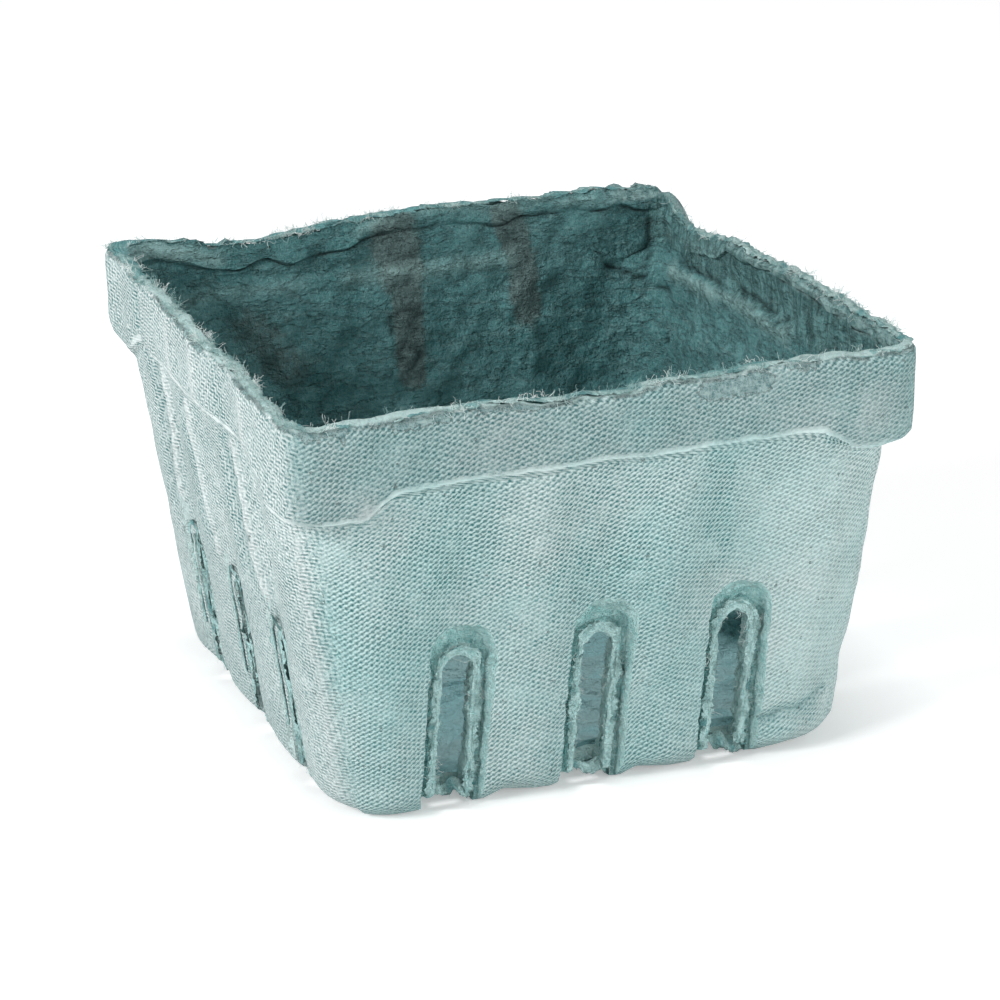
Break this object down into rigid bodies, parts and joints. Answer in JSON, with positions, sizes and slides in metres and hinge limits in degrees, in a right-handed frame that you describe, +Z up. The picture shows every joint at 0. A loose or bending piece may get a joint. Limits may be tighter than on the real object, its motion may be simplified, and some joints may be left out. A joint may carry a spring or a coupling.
{
  "type": "berry basket",
  "caption": "Square moulded-pulp berry basket: a tapered tub with a stepped rim band, deeper lugs at the corners and arched vent slots that open through the foot.",
  "frame": {"origin": "centre of the underside, on the surface the basket stands on", "axes": "+Z up through the open mouth, -Y out of the wall that faces the viewer in the picture, +X to the right of that wall"},
  "size_m": [0.114, 0.114, 0.0762],
  "materials": {
    "pulp": "matte"
  },
  "bodies": {
    "root": {"pulp_basket": "pulp"}
  },
  "joints": []
}
